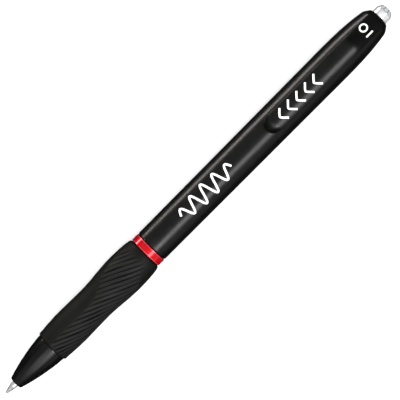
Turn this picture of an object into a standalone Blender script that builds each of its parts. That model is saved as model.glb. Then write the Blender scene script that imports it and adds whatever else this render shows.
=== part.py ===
"""Retractable gel pen, lying along X on its grip with the clip up, in the writing position.

Every turned piece is modelled upright: its local +Z runs from the writing tip to the push button.
One empty, pen_axis, lays the pen down. Stations are distances along that axis from the pen's middle.
"""

import math

import bmesh
import bpy
from mathutils import Matrix, Vector

# ---- driving dimensions, in metres -------------------------------------------------------------

# Lengths along the pen, from the writing tip to the push button
TIP_REACH = 0.00373
NOSE_LENGTH = 0.01371
GRIP_LENGTH = 0.03502
RING_WIDTH = 0.00264
BARREL_LENGTH = 0.08557
BUTTON_REACH = 0.00333

# Front section
NOSE_FRONT_RADIUS = 0.00185
NOSE_REAR_RADIUS = 0.00447
NOSE_OGIVE_RISE = 0.00042
NOSE_ROUNDING = 0.00025
NOSE_WALL_LENGTH = 0.0022
CORE_RADIUS = 0.00385
THREAD_LENGTH = 0.0078
SPRING_SEAT_DEPTH = 0.0063

# Grip sleeve
GRIP_LIP_RADIUS = 0.00485
GRIP_SWELL_RADIUS = 0.00525
GRIP_WAIST_RADIUS = 0.00512
GRIP_BULGE_RADIUS = 0.00576
GRIP_HEEL_RADIUS = 0.00495
GRIP_SWELL_AT = 0.0076
GRIP_WAIST_AT = 0.0157
GRIP_BULGE_BEFORE_HEEL = 0.0079

# Barrel
RING_RADIUS = 0.00493
RING_BEVEL = 0.00022
BARREL_FRONT_RADIUS = 0.00492
BARREL_WIDEST_RADIUS = 0.00519
BARREL_SHOULDER_RADIUS = 0.00415
BARREL_END_RADIUS = 0.0030
BARREL_TAIL_LENGTH = 0.01787
BARREL_TAIL_POWER = 2.75
BARREL_CHAMFER_LENGTH = 0.0016
BARREL_BORE = 0.0040
BARREL_BORE_END = 0.0084

# Clip
CLIP_WIDTH = 0.0053
CLIP_THICKNESS = 0.0015
CLIP_RISE = 0.0029
CLIP_CROWN_RADIUS = 0.0050
CLIP_ARM_LENGTH = 0.0318
CLIP_ROOT_LENGTH = 0.0092
CLIP_ROOT_END_RISE = 0.0003
CLIP_TOE_LENGTH = 0.0033
CLIP_TOE_INNER_LENGTH = 0.0027
CLIP_TO_BARREL_END = 0.0017
CLIP_FLEX_GAP = 0.00015
TANG_WIDTH = 0.0020
TANG_LENGTH = 0.0036
TANG_INSET = 0.0012

# Push button and the click mechanism
BUTTON_RADIUS = 0.00245
BUTTON_TOP_RADIUS = 0.0016
BUTTON_FACET_LENGTH = 0.00136
BUTTON_FACETS = 10
BUTTON_SKIRT = 0.0065
BUTTON_WALL = 0.0005
PLUNGER_WALL = 0.00075
PLUNGER_RIB_LENGTH = 0.0050
SLEEVE_WALL = 0.00045
SLEEVE_LENGTH = 0.0220
SLEEVE_END_WALL = 0.0020
STOP_RIB_HEIGHT = 0.00065
STOP_RIB_LENGTH = 0.0100
STOP_RIB_RELIEF = 0.0021
RIB_WIDTH = 0.0006
RIB_COUNT = 4
LATCH_GAP = 0.0020
ROTOR_RIB_HEIGHT = 0.0008
ROTOR_SKIRT_LENGTH = 0.0018
ROTOR_RIB_LENGTH = 0.0030
ROTOR_STEM_LENGTH = 0.0040
NOTCH_SHARE = 0.9
CROWN_BASE = 0.0003
CLICK_TRAVEL = 0.0055

# Refill
BALL_RADIUS = 0.00035
BALL_SHOWING = 0.0002
TIP_LIP_WALL = 0.000065
TIP_CONE_LENGTH = 0.0024
TIP_SHANK_RADIUS = 0.0010
TIP_SHANK_LENGTH = 0.0091
TIP_BARB_RADIUS = 0.00085
TIP_BARB_LENGTH = 0.0045
TIP_CHANNEL_RADIUS = 0.00025
TIP_FUNNEL_LENGTH = 0.000175
HOLDER_NECK_RADIUS = 0.00170
HOLDER_NECK_LENGTH = 0.0105
HOLDER_FLANGE_LENGTH = 0.0013
HOLDER_SPIGOT_LENGTH = 0.0050
HOLDER_CHANNEL_RADIUS = 0.0007
TUBE_RADIUS = 0.00270
TUBE_WALL = 0.00050
PLUG_HEAD_LENGTH = 0.0030
PLUG_SPIGOT_LENGTH = 0.0050
PLUG_VENT_RADIUS = 0.0005
INK_LENGTH = 0.0490
FOLLOWER_LENGTH = 0.0070

# Return spring
SPRING_WIRE_RADIUS = 0.000175
SPRING_TURNS = 8

# Clearances
SEAM = 0.00010
RUNNING_GAP = 0.00015
LOOSE_GAP = 0.00020
REFILL_GAP = 0.00025
SPRING_GAP = 0.000285
PLUNGER_GAP = 0.00045
BALL_GAP = 0.00002

# Facets round a turned piece, and straight steps along its curves
OUTER_SEGMENTS = 36
INNER_SEGMENTS = 24
NOSE_STEPS = 8
GRIP_STEPS = 20
TAIL_STEPS = 6
TOE_STEPS = 5

# ---- radii of what fits together ---------------------------------------------------------------

TUBE_BORE = TUBE_RADIUS - TUBE_WALL
CORE_BORE = TUBE_RADIUS + REFILL_GAP
BOSS_RADIUS = BARREL_BORE - RUNNING_GAP
SPRING_COIL_RADIUS = HOLDER_NECK_RADIUS + SPRING_WIRE_RADIUS + SPRING_GAP
SLEEVE_RADIUS = BARREL_BORE - RUNNING_GAP
SLEEVE_BORE = SLEEVE_RADIUS - SLEEVE_WALL
STOP_RIB_RADIUS = SLEEVE_BORE - STOP_RIB_HEIGHT
MOVING_RIB_RADIUS = SLEEVE_BORE - LOOSE_GAP
PLUNGER_RADIUS = STOP_RIB_RADIUS - PLUNGER_GAP
PLUNGER_BORE = PLUNGER_RADIUS - PLUNGER_WALL
ROTOR_SKIRT_RADIUS = MOVING_RIB_RADIUS - ROTOR_RIB_HEIGHT
ROTOR_STEM_RADIUS = PLUNGER_BORE - REFILL_GAP

# A notch takes its share of the teeth's pitch at the plunger's bore, and is half as deep as wide.
TOOTH_HEIGHT = NOTCH_SHARE * math.pi * PLUNGER_BORE / (2 * RIB_COUNT)

# ---- stations along the pen, worked out from the lengths ---------------------------------------

TOTAL_LENGTH = TIP_REACH + NOSE_LENGTH + GRIP_LENGTH + RING_WIDTH + BARREL_LENGTH + BUTTON_REACH
TIP_END = -TOTAL_LENGTH / 2
NOSE_FACE = TIP_END + TIP_REACH
GRIP_START = NOSE_FACE + NOSE_LENGTH
RING_START = GRIP_START + GRIP_LENGTH
BARREL_START = RING_START + RING_WIDTH
BARREL_END = BARREL_START + BARREL_LENGTH
BUTTON_TOP = BARREL_END + BUTTON_REACH
TAIL_START = BARREL_END - BARREL_TAIL_LENGTH
SHOULDER = BARREL_END - BARREL_CHAMFER_LENGTH
BORE_END = BARREL_END - BARREL_BORE_END

SLEEVE_END = BORE_END - SEAM
SLEEVE_START = SLEEVE_END - SLEEVE_LENGTH
SLEEVE_END_WALL_START = SLEEVE_END - SLEEVE_END_WALL
STOP_RIBS_END = SLEEVE_END_WALL_START - STOP_RIB_RELIEF
STOP_RIBS_START = STOP_RIBS_END - STOP_RIB_LENGTH
ROTOR_RIBS_END = STOP_RIBS_START - LATCH_GAP
ROTOR_RIBS_START = ROTOR_RIBS_END - ROTOR_RIB_LENGTH
ROTOR_START = ROTOR_RIBS_START - ROTOR_SKIRT_LENGTH
ROTOR_CREST = ROTOR_RIBS_END + CROWN_BASE + TOOTH_HEIGHT
PLUNGER_CREST = ROTOR_CREST + LOOSE_GAP
# The plunger's ribs stop the button by meeting the sleeve's end wall.
PLUNGER_RIBS_END = SLEEVE_END_WALL_START - CLICK_TRAVEL - LOOSE_GAP
BUTTON_SKIRT_START = BARREL_END - BUTTON_SKIRT
BUTTON_FACETS_START = BUTTON_TOP - BUTTON_FACET_LENGTH

REFILL_END = ROTOR_START - SEAM
CONE_START = TIP_END + BALL_SHOWING
SHANK_START = CONE_START + TIP_CONE_LENGTH
HOLDER_START = SHANK_START + TIP_SHANK_LENGTH
FLANGE_START = HOLDER_START + HOLDER_NECK_LENGTH
TUBE_START = FLANGE_START + HOLDER_FLANGE_LENGTH + SEAM
SPRING_SEAT = NOSE_FACE + SPRING_SEAT_DEPTH
PLUG_HEAD_START = REFILL_END - PLUG_HEAD_LENGTH

CLIP_TOP = BARREL_WIDEST_RADIUS + CLIP_RISE
CLIP_UNDERSIDE = CLIP_TOP - CLIP_THICKNESS
CLIP_ROOT_END = BARREL_END - CLIP_TO_BARREL_END
CLIP_SHOULDER = CLIP_ROOT_END - CLIP_ROOT_LENGTH
CLIP_TOE = CLIP_SHOULDER - CLIP_ARM_LENGTH

# The pen rests on the bulge of its grip.
AXIS_HEIGHT = GRIP_BULGE_RADIUS

# Local directions of the upright pieces once the empty has laid them down
UP = Vector((-1, 0, 0))
SIDE = Vector((0, 1, 0))


# ---- scene helpers -----------------------------------------------------------------------------


def clear_scene():
    for obj in list(bpy.data.objects):
        bpy.data.objects.remove(obj, do_unlink=True)


def new_collection(name):
    collection = bpy.data.collections.new(name)
    bpy.context.scene.collection.children.link(collection)
    return collection


def make_material(name, colour, roughness, metallic=0.0, alpha=1.0):
    material = bpy.data.materials.new(name)
    material.use_nodes = True
    shader = material.node_tree.nodes["Principled BSDF"]
    shader.inputs["Base Color"].default_value = (*colour, 1.0)
    shader.inputs["Roughness"].default_value = roughness
    shader.inputs["Metallic"].default_value = metallic
    shader.inputs["Alpha"].default_value = alpha
    return material


def add_object(name, mesh, material=None, helper=False):
    """A piece of the pen, or a helper for a Boolean, hung from the empty that lays the pen down."""
    obj = bpy.data.objects.new(name, mesh)
    (cutters if helper else pen).objects.link(obj)
    obj.parent = pen_axis
    if material:
        mesh.materials.append(material)
    if helper:
        obj.hide_render = True
        obj.display_type = "WIRE"
    return obj


def apply_modifiers(obj):
    """Keeps the shape that the modifiers give as the object's own mesh."""
    bpy.context.view_layer.update()
    graph = bpy.context.evaluated_depsgraph_get()
    mesh = bpy.data.meshes.new_from_object(obj.evaluated_get(graph))
    obj.modifiers.clear()
    obj.data = mesh


def shade_round(obj, sharp_degrees=35):
    obj.data.shade_smooth()
    obj.data.set_sharp_from_angle(angle=math.radians(sharp_degrees))


def boolean(obj, operation, helpers):
    """One Boolean for each helper, applied in turn."""
    for number, helper in enumerate(helpers):
        modifier = obj.modifiers.new(f"{operation.lower()}_{number}", "BOOLEAN")
        modifier.operation = operation
        modifier.solver = "EXACT"
        modifier.object = helper
    apply_modifiers(obj)


# ---- shape helpers -----------------------------------------------------------------------------


def turned(name, profile, material=None, segments=INNER_SEGMENTS, ring=True, helper=False):
    """A profile of (radius, station) turned round the axis: down the outside, then up the inside."""
    mesh = bpy.data.meshes.new(name)
    points = [(radius, 0, station) for radius, station in profile]
    edges = [(i, i + 1) for i in range(len(points) - 1)]
    if ring:
        edges.append((len(points) - 1, 0))
    mesh.from_pydata(points, edges, [])
    obj = add_object(name, mesh, material, helper)
    screw = obj.modifiers.new("turn", "SCREW")
    screw.axis = "Z"
    screw.steps = segments
    screw.render_steps = segments
    screw.use_merge_vertices = True
    screw.merge_threshold = 1e-6
    apply_modifiers(obj)
    shade_round(obj)
    return obj


def tube(name, outer, inner, start, end, material=None, segments=INNER_SEGMENTS, helper=False):
    profile = [(outer, end), (outer, start), (inner, start), (inner, end)]
    return turned(name, profile, material, segments, helper=helper)


def block(name, size, centre, spin=0.0):
    """A helper box of size (across, radial, along), its centre turned by spin round the pen's axis."""
    across, radial, along = size
    shape = bmesh.new()
    bmesh.ops.create_cube(shape, size=1)
    bmesh.ops.scale(shape, vec=(radial, across, along), verts=shape.verts)
    bmesh.ops.translate(shape, vec=centre, verts=shape.verts)
    bmesh.ops.rotate(shape, matrix=Matrix.Rotation(spin, 3, "Z"), verts=shape.verts)
    mesh = bpy.data.meshes.new(name)
    shape.to_mesh(mesh)
    shape.free()
    return add_object(name, mesh, helper=True)


def ribs(name, inner, outer, start, end, spin=0.0):
    """RIB_COUNT helper blocks that stand between two radii, spread evenly round the axis."""
    size = (RIB_WIDTH, outer - inner, end - start)
    centre = ((inner + outer) / 2, 0, (start + end) / 2)
    turn = 2 * math.pi / RIB_COUNT
    return [block(f"{name}_{i}", size, centre, spin + i * turn) for i in range(RIB_COUNT)]


def side_outline(name, outline, width, helper=False, material=None):
    """A side view of (station, height over the axis), drawn as a 2D curve and made width thick."""
    curve = bpy.data.curves.new(name, "CURVE")
    curve.dimensions = "2D"
    curve.fill_mode = "BOTH"
    curve.extrude = width / 2
    spline = curve.splines.new("POLY")
    spline.points.add(len(outline) - 1)
    for point, (station, height) in zip(spline.points, outline):
        point.co = (station, height, 0, 1)
    spline.use_cyclic_u = True
    guide = bpy.data.objects.new(name + "_outline", curve)
    cutters.objects.link(guide)
    bpy.context.view_layer.update()
    graph = bpy.context.evaluated_depsgraph_get()
    mesh = bpy.data.meshes.new_from_object(guide.evaluated_get(graph))
    bpy.data.objects.remove(guide, do_unlink=True)
    # The curve's X is the station, its Y the height and its Z the way across the pen.
    upright = Matrix((-UP.cross(SIDE), UP, SIDE)).transposed()
    shape = bmesh.new()
    shape.from_mesh(mesh)
    bmesh.ops.remove_doubles(shape, verts=shape.verts, dist=1e-7)
    bmesh.ops.transform(shape, matrix=upright.to_4x4(), verts=shape.verts)
    bmesh.ops.recalc_face_normals(shape, faces=shape.faces)
    shape.to_mesh(mesh)
    shape.free()
    return add_object(name, mesh, material, helper)


def crown_notches(name, radius, crest):
    """Helper square bars laid across the axis, whose edges cut V-shaped teeth into a tube's end."""
    notches = []
    for i in range(RIB_COUNT):
        shape = bmesh.new()
        bmesh.ops.create_cone(
            shape, cap_ends=True, segments=4, radius1=TOOTH_HEIGHT, radius2=TOOTH_HEIGHT, depth=4 * radius
        )
        lying = Matrix.Rotation(math.pi / 2, 3, "Y")
        spin = Matrix.Rotation((i + 0.5) * math.pi / RIB_COUNT, 3, "Z")
        bmesh.ops.rotate(shape, matrix=spin @ lying, verts=shape.verts)
        bmesh.ops.translate(shape, vec=(0, 0, crest), verts=shape.verts)
        mesh = bpy.data.meshes.new(f"{name}_{i}")
        shape.to_mesh(mesh)
        shape.free()
        notches.append(add_object(f"{name}_{i}", mesh, helper=True))
    return notches


# ---- outlines ----------------------------------------------------------------------------------


def nose_radius(share):
    """Radius of the nose at a share of its length: a cone that swells in the middle."""
    straight = NOSE_FRONT_RADIUS + (NOSE_REAR_RADIUS - NOSE_FRONT_RADIUS) * share
    return straight + 4 * NOSE_OGIVE_RISE * share * (1 - share)


def eased(start, end, share):
    return start + (end - start) * (1 - math.cos(math.pi * share)) / 2


def grip_radius(along):
    """Radius of the grip at a distance behind its lip: swell, waist for the fingers, bulge, heel."""
    bulge_at = GRIP_LENGTH - GRIP_BULGE_BEFORE_HEEL
    if along < GRIP_SWELL_AT:
        share = along / GRIP_SWELL_AT
        return GRIP_LIP_RADIUS + (GRIP_SWELL_RADIUS - GRIP_LIP_RADIUS) * math.sin(math.pi / 2 * share)
    if along < GRIP_WAIST_AT:
        share = (along - GRIP_SWELL_AT) / (GRIP_WAIST_AT - GRIP_SWELL_AT)
        return eased(GRIP_SWELL_RADIUS, GRIP_WAIST_RADIUS, share)
    if along < bulge_at:
        share = (along - GRIP_WAIST_AT) / (bulge_at - GRIP_WAIST_AT)
        return eased(GRIP_WAIST_RADIUS, GRIP_BULGE_RADIUS, share)
    share = (along - bulge_at) / GRIP_BULGE_BEFORE_HEEL
    return GRIP_HEEL_RADIUS + (GRIP_BULGE_RADIUS - GRIP_HEEL_RADIUS) * math.sqrt(max(0, 1 - share**2))


def barrel_radius(station):
    """Outer radius of the barrel: it widens slowly to the tail, then curves in to the shoulder."""
    if station < TAIL_START:
        share = (station - BARREL_START) / (TAIL_START - BARREL_START)
        return BARREL_FRONT_RADIUS + (BARREL_WIDEST_RADIUS - BARREL_FRONT_RADIUS) * share
    if station <= SHOULDER:
        share = (station - TAIL_START) / (SHOULDER - TAIL_START)
        drop = BARREL_WIDEST_RADIUS - BARREL_SHOULDER_RADIUS
        return BARREL_WIDEST_RADIUS - drop * share**BARREL_TAIL_POWER
    share = (station - SHOULDER) / (BARREL_END - SHOULDER)
    return BARREL_SHOULDER_RADIUS + (BARREL_END_RADIUS - BARREL_SHOULDER_RADIUS) * share


def barrel_outline(offset=0.0):
    """(radius, station) down the outside of the barrel, from the button end to the ring."""
    tail = [SHOULDER + (TAIL_START - SHOULDER) * i / TAIL_STEPS for i in range(TAIL_STEPS + 1)]
    stations = [BARREL_END, *tail, BARREL_START]
    return [(barrel_radius(station) + offset, station) for station in stations]


def toe_arc(outside):
    """The bend of the clip's toe, (station, height): a quarter turn from the arm down to the barrel."""
    bottom = barrel_radius(CLIP_TOE) + SEAM
    inset = 0 if outside else CLIP_THICKNESS
    drop = CLIP_TOP - inset - bottom
    length = CLIP_TOE_LENGTH if outside else CLIP_TOE_INNER_LENGTH
    start = CLIP_TOE + CLIP_TOE_LENGTH
    arc = []
    for i in range(TOE_STEPS + 1):
        angle = math.pi / 2 * i / TOE_STEPS
        arc.append((start - length * math.sin(angle), bottom + drop * math.cos(angle)))
    return arc


# ---- outside pieces ----------------------------------------------------------------------------


def front_section():
    outside = [
        (NOSE_FRONT_RADIUS - NOSE_ROUNDING, NOSE_FACE),
        (NOSE_FRONT_RADIUS, NOSE_FACE + NOSE_ROUNDING),
    ]
    for i in range(1, NOSE_STEPS + 1):
        share = i / NOSE_STEPS
        outside.append((nose_radius(share), NOSE_FACE + NOSE_LENGTH * share))
    boss_end = BARREL_START + THREAD_LENGTH
    profile = [
        (BOSS_RADIUS, boss_end),
        (BOSS_RADIUS, BARREL_START),
        (CORE_RADIUS, BARREL_START - SEAM),
        (CORE_RADIUS, GRIP_START),
        *reversed(outside),
    ]
    tip_hole = TIP_SHANK_RADIUS + LOOSE_GAP
    neck_hole = HOLDER_NECK_RADIUS + LOOSE_GAP
    profile += [
        (tip_hole, NOSE_FACE),
        (tip_hole, NOSE_FACE + NOSE_WALL_LENGTH),
        (neck_hole, NOSE_FACE + 2 * NOSE_WALL_LENGTH),
        (neck_hole, SPRING_SEAT),
        (CORE_BORE, SPRING_SEAT),
        (CORE_BORE, boss_end),
    ]
    return turned("front_section", profile, gloss_black, OUTER_SEGMENTS)


def grip_sleeve():
    start = GRIP_START + SEAM
    length = GRIP_LENGTH - 2 * SEAM
    shares = [i / GRIP_STEPS for i in range(GRIP_STEPS + 1)]
    outside = [(grip_radius(GRIP_LENGTH * share), start + length * share) for share in shares]
    inner = CORE_RADIUS + SEAM
    profile = [*reversed(outside), (inner, start), (inner, start + length)]
    return turned("grip_sleeve", profile, rubber_black, OUTER_SEGMENTS)


def accent_ring():
    start = RING_START
    end = BARREL_START - SEAM
    inner = CORE_RADIUS + SEAM
    profile = [
        (RING_RADIUS - RING_BEVEL, end),
        (RING_RADIUS, end - RING_BEVEL),
        (RING_RADIUS, start + RING_BEVEL),
        (RING_RADIUS - RING_BEVEL, start),
        (inner, start),
        (inner, end),
    ]
    return turned("accent_ring", profile, ring_red, OUTER_SEGMENTS)


def barrel():
    hole = BUTTON_RADIUS + LOOSE_GAP
    profile = barrel_outline() + [
        (BARREL_BORE, BARREL_START),
        (BARREL_BORE, BORE_END),
        (hole, BORE_END),
        (hole, BARREL_END),
    ]
    obj = turned("barrel", profile, satin_black, OUTER_SEGMENTS)
    floor = SLEEVE_RADIUS - LOOSE_GAP
    height = CLIP_TOP - floor
    slot_size = (TANG_WIDTH + 2 * RUNNING_GAP, height, TANG_LENGTH + 2 * RUNNING_GAP)
    slot_centre = UP * (floor + height / 2) + Vector((0, 0, CLIP_SHOULDER + TANG_INSET + TANG_LENGTH / 2))
    boolean(obj, "DIFFERENCE", [block("clip_slot", slot_size, slot_centre)])
    shade_round(obj)
    return obj


def clip_crown(name):
    """A long helper cylinder whose upper side gives the clip its convex outer face."""
    start = CLIP_TOE - CLIP_THICKNESS
    end = BARREL_END + CLIP_THICKNESS
    obj = turned(
        name,
        [(0, end), (CLIP_CROWN_RADIUS, end), (CLIP_CROWN_RADIUS, start), (0, start)],
        segments=4 * INNER_SEGMENTS,
        ring=False,
        helper=True,
    )
    obj.data.transform(Matrix.Translation(UP * (CLIP_TOP - CLIP_CROWN_RADIUS)))
    return obj


def clip_arm():
    outline = [(CLIP_SHOULDER - CLIP_FLEX_GAP, CLIP_UNDERSIDE), (CLIP_SHOULDER - CLIP_FLEX_GAP, CLIP_TOP)]
    outline += toe_arc(outside=True) + list(reversed(toe_arc(outside=False)))
    obj = side_outline("clip_arm", outline, CLIP_WIDTH, material=satin_black)
    boolean(obj, "INTERSECT", [clip_crown("arm_crown")])
    shade_round(obj)
    return obj


def clip_root():
    end_height = barrel_radius(CLIP_ROOT_END) + CLIP_ROOT_END_RISE
    inside = BARREL_BORE - CLIP_THICKNESS
    outline = [
        (CLIP_SHOULDER, inside),
        (CLIP_ROOT_END, inside),
        (CLIP_ROOT_END, end_height),
        (CLIP_SHOULDER, CLIP_TOP),
    ]
    obj = side_outline("clip_root", outline, CLIP_WIDTH, material=satin_black)
    seat = turned(
        "clip_seat",
        [(0, BARREL_END), *barrel_outline(SEAM), (0, BARREL_START)],
        segments=OUTER_SEGMENTS,
        ring=False,
        helper=True,
    )
    boolean(obj, "INTERSECT", [clip_crown("root_crown")])
    boolean(obj, "DIFFERENCE", [seat])
    bottom = SLEEVE_RADIUS + LOOSE_GAP
    top = barrel_radius(CLIP_SHOULDER + TANG_INSET + TANG_LENGTH) + CLIP_ROOT_END_RISE + SEAM
    tang_size = (TANG_WIDTH, top - bottom, TANG_LENGTH)
    tang_centre = UP * ((bottom + top) / 2) + Vector((0, 0, CLIP_SHOULDER + TANG_INSET + TANG_LENGTH / 2))
    boolean(obj, "UNION", [block("tang", tang_size, tang_centre)])
    shade_round(obj)
    return obj


# ---- click mechanism ---------------------------------------------------------------------------


def cam_sleeve():
    hole = PLUNGER_RADIUS + LOOSE_GAP
    profile = [
        (SLEEVE_RADIUS, SLEEVE_END),
        (SLEEVE_RADIUS, SLEEVE_START),
        (SLEEVE_BORE, SLEEVE_START),
        (SLEEVE_BORE, SLEEVE_END_WALL_START),
        (hole, SLEEVE_END_WALL_START),
        (hole, SLEEVE_END),
    ]
    obj = turned("cam_sleeve", profile, white_plastic)
    rib_root = SLEEVE_BORE + SLEEVE_WALL / 2
    boolean(obj, "UNION", ribs("stop_rib", STOP_RIB_RADIUS, rib_root, STOP_RIBS_START, STOP_RIBS_END))
    shade_round(obj)
    return obj


def cam_rotor():
    profile = [
        (ROTOR_STEM_RADIUS, ROTOR_CREST + ROTOR_STEM_LENGTH),
        (ROTOR_STEM_RADIUS, ROTOR_RIBS_END),
        (ROTOR_SKIRT_RADIUS, ROTOR_RIBS_END),
        (ROTOR_SKIRT_RADIUS, ROTOR_START),
    ]
    profile = [(0, profile[0][1]), *profile, (0, ROTOR_START)]
    obj = turned("cam_rotor", profile, white_plastic, ring=False)
    # The ribs end a little short of the skirt, so that no two faces of the union share a plane.
    ribs_end = ROTOR_RIBS_END - SEAM
    crown = tube("rotor_crown", PLUNGER_RADIUS, PLUNGER_BORE, ribs_end, ROTOR_CREST, helper=True)
    boolean(crown, "DIFFERENCE", crown_notches("rotor_notch", PLUNGER_RADIUS, ROTOR_CREST))
    fins = ribs("rotor_rib", ROTOR_SKIRT_RADIUS - RIB_WIDTH, MOVING_RIB_RADIUS, ROTOR_RIBS_START, ribs_end)
    boolean(obj, "UNION", [crown, *fins])
    shade_round(obj)
    return obj


def plunger():
    spigot = BUTTON_RADIUS - BUTTON_WALL - RUNNING_GAP
    neck = BUTTON_SKIRT_START - SEAM
    profile = [
        (spigot, BUTTON_FACETS_START - LOOSE_GAP - BUTTON_WALL),
        (spigot, neck),
        (PLUNGER_RADIUS, neck),
        (PLUNGER_RADIUS, PLUNGER_CREST),
        (PLUNGER_BORE, PLUNGER_CREST),
        (PLUNGER_BORE, neck),
        (PLUNGER_BORE - RIB_WIDTH, neck + RIB_WIDTH),
        (PLUNGER_BORE - RIB_WIDTH, BUTTON_FACETS_START - LOOSE_GAP - BUTTON_WALL),
    ]
    obj = turned("plunger", profile, white_plastic)
    boolean(obj, "DIFFERENCE", crown_notches("plunger_notch", PLUNGER_RADIUS, PLUNGER_CREST))
    half_step = math.pi / RIB_COUNT
    fins = ribs(
        "plunger_rib",
        PLUNGER_RADIUS - RIB_WIDTH,
        MOVING_RIB_RADIUS,
        PLUNGER_RIBS_END - PLUNGER_RIB_LENGTH,
        PLUNGER_RIBS_END,
        half_step,
    )
    boolean(obj, "UNION", fins)
    shade_round(obj)
    return obj


def push_button():
    bore = BUTTON_RADIUS - BUTTON_WALL
    bore_end = BUTTON_FACETS_START - BUTTON_WALL
    profile = [
        (0, BUTTON_TOP),
        (BUTTON_RADIUS, BUTTON_TOP),
        (BUTTON_RADIUS, BUTTON_SKIRT_START),
        (bore, BUTTON_SKIRT_START),
        (bore, bore_end),
        (0, bore_end),
    ]
    obj = turned("push_button", profile, chrome, ring=False, segments=OUTER_SEGMENTS)
    # A pyramid with as many sides as the cap has facets, from below the skirt up to the flat top
    slope = (BUTTON_RADIUS - BUTTON_TOP_RADIUS) / BUTTON_FACET_LENGTH
    height = BUTTON_TOP - BUTTON_SKIRT_START + BUTTON_WALL
    to_corner = 1 / math.cos(math.pi / BUTTON_FACETS)
    shape = bmesh.new()
    bmesh.ops.create_cone(
        shape,
        cap_ends=True,
        segments=BUTTON_FACETS,
        radius1=(BUTTON_TOP_RADIUS + slope * height) * to_corner,
        radius2=BUTTON_TOP_RADIUS * to_corner,
        depth=height,
    )
    bmesh.ops.translate(shape, vec=(0, 0, BUTTON_TOP - height / 2), verts=shape.verts)
    mesh = bpy.data.meshes.new("button_facets")
    shape.to_mesh(mesh)
    shape.free()
    boolean(obj, "INTERSECT", [add_object("button_facets", mesh, helper=True)])
    shade_round(obj, 15)
    return obj


# ---- refill ------------------------------------------------------------------------------------


def tip_ball():
    shape = bmesh.new()
    bmesh.ops.create_uvsphere(shape, u_segments=16, v_segments=10, radius=BALL_RADIUS)
    bmesh.ops.translate(shape, vec=(0, 0, TIP_END + BALL_RADIUS), verts=shape.verts)
    mesh = bpy.data.meshes.new("tip_ball")
    shape.to_mesh(mesh)
    shape.free()
    obj = add_object("tip_ball", mesh, carbide)
    shade_round(obj)
    return obj


def refill_tip():
    centre = TIP_END + BALL_RADIUS
    lip_bore = math.sqrt(BALL_RADIUS**2 - (BALL_RADIUS - BALL_SHOWING) ** 2) + BALL_GAP
    socket = BALL_RADIUS + BALL_GAP
    barb_end = HOLDER_START + TIP_BARB_LENGTH
    profile = [
        (TIP_BARB_RADIUS, barb_end),
        (TIP_BARB_RADIUS, HOLDER_START),
        (TIP_SHANK_RADIUS, HOLDER_START),
        (TIP_SHANK_RADIUS, SHANK_START),
        (lip_bore + TIP_LIP_WALL, CONE_START),
        (lip_bore, CONE_START),
        (socket, centre),
        (socket, centre + BALL_RADIUS),
        (TIP_CHANNEL_RADIUS, centre + BALL_RADIUS + TIP_FUNNEL_LENGTH),
        (TIP_CHANNEL_RADIUS, barb_end),
    ]
    return turned("refill_tip", profile, steel)


def tip_holder():
    spigot = TUBE_BORE - SEAM
    flange_end = FLANGE_START + HOLDER_FLANGE_LENGTH
    end = flange_end + HOLDER_SPIGOT_LENGTH
    socket = TIP_BARB_RADIUS + SEAM
    socket_end = HOLDER_START + TIP_BARB_LENGTH + LOOSE_GAP
    profile = [
        (spigot, end),
        (spigot, flange_end),
        (TUBE_RADIUS, flange_end),
        (TUBE_RADIUS, FLANGE_START),
        (HOLDER_NECK_RADIUS, FLANGE_START),
        (HOLDER_NECK_RADIUS, HOLDER_START + SEAM),
        (socket, HOLDER_START + SEAM),
        (socket, socket_end),
        (HOLDER_CHANNEL_RADIUS, socket_end),
        (HOLDER_CHANNEL_RADIUS, end),
    ]
    return turned("tip_holder", profile, white_plastic)


def ink_column(name, start, length, material):
    """A solid plug that fills the tube's bore."""
    radius = TUBE_BORE - SEAM
    end = start + length
    return turned(name, [(0, end), (radius, end), (radius, start), (0, start)], material, ring=False)


def refill_filling():
    ink_start = TUBE_START + HOLDER_SPIGOT_LENGTH
    ink_column("gel_ink", ink_start, INK_LENGTH, ink)
    ink_column("ink_follower", ink_start + INK_LENGTH + SEAM, FOLLOWER_LENGTH, grease)


def tail_plug():
    spigot = TUBE_BORE - SEAM
    start = PLUG_HEAD_START - PLUG_SPIGOT_LENGTH
    profile = [
        (TUBE_RADIUS, REFILL_END),
        (TUBE_RADIUS, PLUG_HEAD_START),
        (spigot, PLUG_HEAD_START),
        (spigot, start),
        (PLUG_VENT_RADIUS, start),
        (PLUG_VENT_RADIUS, REFILL_END),
    ]
    return turned("tail_plug", profile, white_plastic)


def return_spring():
    """A coil of round wire between the seat in the nose and the tip holder's flange."""
    points_per_turn = 12
    start = SPRING_SEAT + SPRING_WIRE_RADIUS + SEAM
    end = FLANGE_START - SPRING_WIRE_RADIUS - SEAM
    count = SPRING_TURNS * points_per_turn
    curve = bpy.data.curves.new("return_spring", "CURVE")
    curve.dimensions = "3D"
    curve.bevel_depth = SPRING_WIRE_RADIUS
    curve.bevel_resolution = 1
    curve.use_fill_caps = True
    spline = curve.splines.new("POLY")
    spline.points.add(count)
    for i, point in enumerate(spline.points):
        angle = 2 * math.pi * i / points_per_turn
        around = Vector((math.cos(angle), math.sin(angle), 0)) * SPRING_COIL_RADIUS
        point.co = (around.x, around.y, start + (end - start) * i / count, 1)
    return add_object("return_spring", curve, spring_steel)


# ---- the pen -----------------------------------------------------------------------------------

clear_scene()
pen = new_collection("gel_pen")
cutters = new_collection("cutters")

pen_axis = bpy.data.objects.new("pen_axis", None)
pen_axis.rotation_euler = (0, math.pi / 2, 0)
pen_axis.location = (0, 0, AXIS_HEIGHT)
pen.objects.link(pen_axis)

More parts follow.
